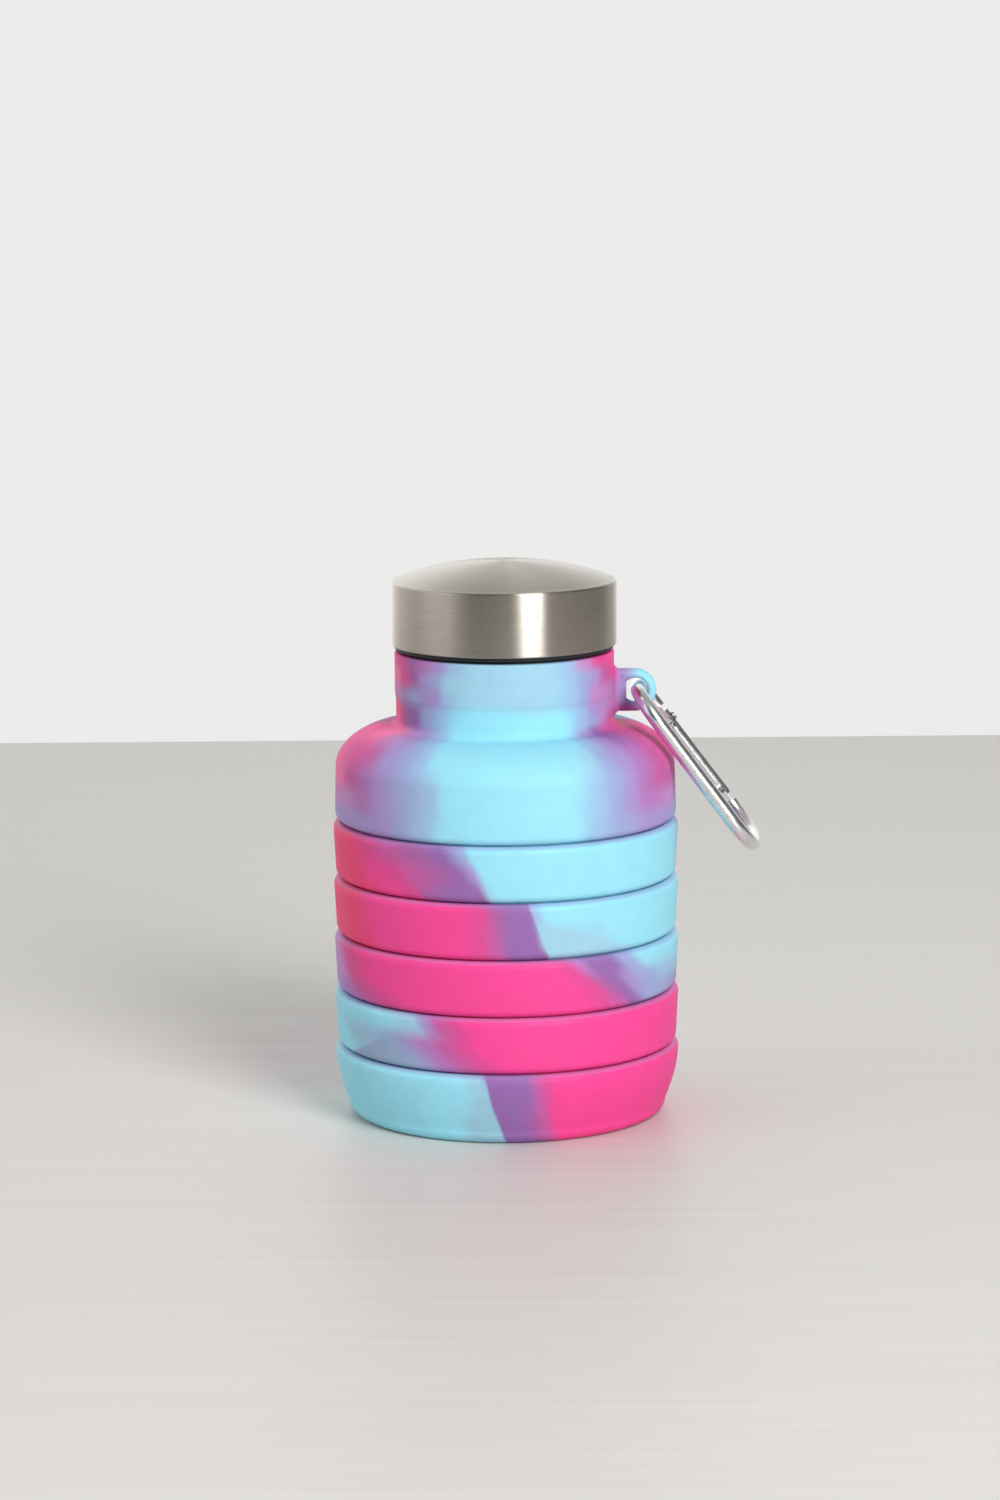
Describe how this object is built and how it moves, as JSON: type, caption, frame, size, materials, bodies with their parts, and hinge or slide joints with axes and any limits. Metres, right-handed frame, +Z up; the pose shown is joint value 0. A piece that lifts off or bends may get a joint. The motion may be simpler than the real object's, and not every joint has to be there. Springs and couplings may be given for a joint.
{
  "type": "folding water bottle",
  "caption": "Folded silicone water bottle of nested rings that pop open one by one, with a domed screw cap and a small spring-gate carabiner on a neck loop.",
  "frame": {"origin": "centre of the base, on the surface the bottle stands on", "axes": "+Z up along the bottle's axis, +X towards the neck loop and the carabiner"},
  "size_m": [0.0868, 0.07, 0.113],
  "materials": {
    "silicone_base": "soft matte silicone, marbled pale blue, violet and pink",
    "silicone_ring_4": "soft matte silicone, marbled pale blue, violet and pink",
    "silicone_ring_3": "soft matte silicone, marbled pink, violet and pale blue",
    "silicone_ring_2": "soft matte silicone, marbled pink, violet and pale blue",
    "silicone_ring_1": "soft matte silicone, marbled pink, violet and pale blue",
    "silicone_web": "soft matte silicone",
    "silicone_shoulder": "soft matte silicone, marbled pink, violet and pale blue",
    "insert_plastic": "moulded black polypropylene",
    "cap_steel": "brushed round the axis",
    "liner_plastic": "moulded black polypropylene",
    "seal_silicone": "translucent white silicone",
    "clip_aluminium": "polished",
    "gate_aluminium": "satin",
    "pin_steel": "plain"
  },
  "bodies": {
    "base": {"base_cup": "silicone_base", "fold_web_5": "silicone_web"},
    "ring_4": {"band_4": "silicone_ring_4", "fold_web_4": "silicone_web"},
    "ring_3": {"band_3": "silicone_ring_3", "fold_web_3": "silicone_web"},
    "ring_2": {"band_2": "silicone_ring_2", "fold_web_2": "silicone_web"},
    "ring_1": {"band_1": "silicone_ring_1", "fold_web_1": "silicone_web"},
    "top": {"shoulder": "silicone_shoulder", "neck_insert": "insert_plastic"},
    "seal": {"cap_seal": "seal_silicone"},
    "cap": {"cap_shell": "cap_steel", "cap_liner": "liner_plastic"},
    "carabiner": {"carabiner_frame": "clip_aluminium", "gate_hinge_pin": "pin_steel"},
    "gate": {"carabiner_gate": "gate_aluminium", "gate_latch_pin": "pin_steel", "gate_plunger": "pin_steel", "gate_spring": "pin_steel"}
  },
  "joints": [
    {"name": "fold_5", "type": "slide", "parent": "base", "child": "ring_4", "axis": [0, 0, 1], "range_m": [0, 0.0204], "deforming": ["fold_web_5"]},
    {"name": "fold_4", "type": "slide", "parent": "ring_4", "child": "ring_3", "axis": [0, 0, 1], "range_m": [0, 0.0204], "deforming": ["fold_web_4"]},
    {"name": "fold_3", "type": "slide", "parent": "ring_3", "child": "ring_2", "axis": [0, 0, 1], "range_m": [0, 0.0204], "deforming": ["fold_web_3"]},
    {"name": "fold_2", "type": "slide", "parent": "ring_2", "child": "ring_1", "axis": [0, 0, 1], "range_m": [0, 0.0204], "deforming": ["fold_web_2"]},
    {"name": "fold_1", "type": "slide", "parent": "ring_1", "child": "top", "axis": [0, 0, 1], "range_m": [0, 0.0204], "deforming": ["fold_web_1"]},
    {"name": "cap_lift", "type": "slide", "parent": "top", "child": "seal", "axis": [0, 0, 1], "range_m": [0, 0.012]},
    {"name": "cap_turn", "type": "hinge", "parent": "seal", "child": "cap", "pos_m": [0, 0, 0.1], "axis": [0, 0, 1], "range_deg": [0, 1440]},
    {"name": "carabiner_swing", "type": "hinge", "parent": "top", "child": "carabiner", "pos_m": [0.02704, 0, 0.08697], "axis": [0, -1, 0], "range_deg": [0, 140]},
    {"name": "gate_open", "type": "hinge", "parent": "carabiner", "child": "gate", "pos_m": [0.03333, 0.009, 0.07881], "axis": [-0.8057, 0.0262, -0.5918], "range_deg": [0, 27], "stiffness_Nm_per_rad": 0.04, "springref_deg": -20.05}
  ],
  "couplings": [
    {"joint": "cap_lift", "follows": "cap_turn", "m_per_rad": 0.00047746}
  ]
}
